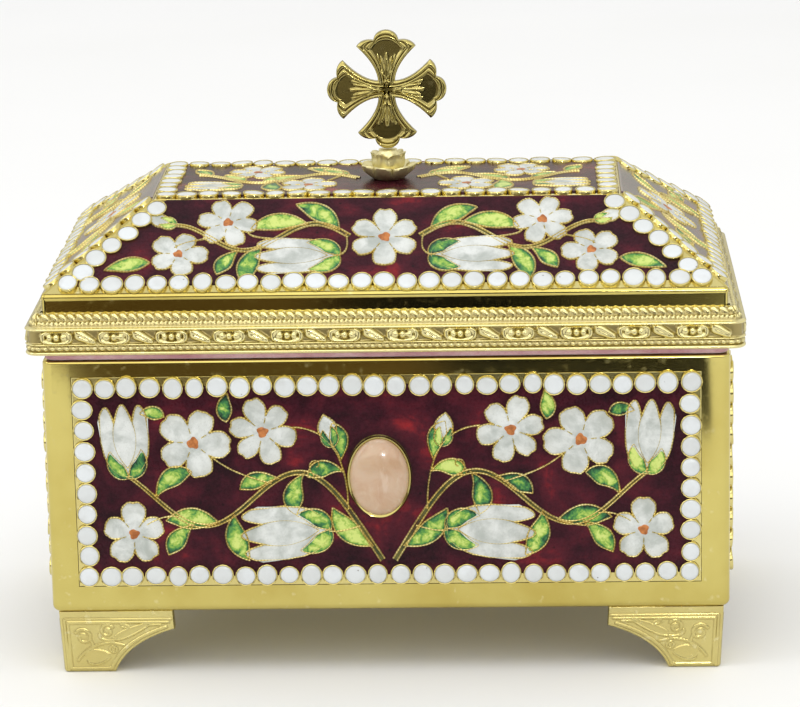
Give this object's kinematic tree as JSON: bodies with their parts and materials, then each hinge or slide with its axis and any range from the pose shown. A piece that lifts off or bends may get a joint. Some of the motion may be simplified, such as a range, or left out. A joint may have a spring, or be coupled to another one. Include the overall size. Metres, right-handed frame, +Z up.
{
  "type": "reliquary casket",
  "caption": "Gilt reliquary casket: box on bracket feet, lift-off hipped lid with ornamental band, enamel plaques edged with bead cups, velvet lining and cross finial.",
  "frame": {"origin": "under the middle of the box, level with the undersides of the feet", "axes": "+X along the length of the box, -Y out of the front with the oval stone, +Z up to the cross"},
  "size_m": [0.1722, 0.1002, 0.1508],
  "materials": {
    "gilt_metal": "polished",
    "enamel": "gloss",
    "velvet": "matte",
    "cabochon": "polished"
  },
  "bodies": {
    "root": {"box_body": "gilt_metal", "front_left_foot": "gilt_metal", "front_right_foot": "gilt_metal", "back_right_foot": "gilt_metal", "back_left_foot": "gilt_metal", "lid_shell": "gilt_metal", "lid_band": "gilt_metal", "finial_bud": "gilt_metal", "finial_cross": "gilt_metal", "front_enamel_plaque": "enamel", "right_enamel_plaque": "enamel", "back_enamel_plaque": "enamel", "left_enamel_plaque": "enamel", "lid_front_enamel_plaque": "enamel", "lid_right_enamel_plaque": "enamel", "lid_back_enamel_plaque": "enamel", "lid_left_enamel_plaque": "enamel", "lid_top_enamel_plaque": "enamel", "velvet_lining": "velvet", "cabochon": "cabochon"}
  },
  "joints": []
}
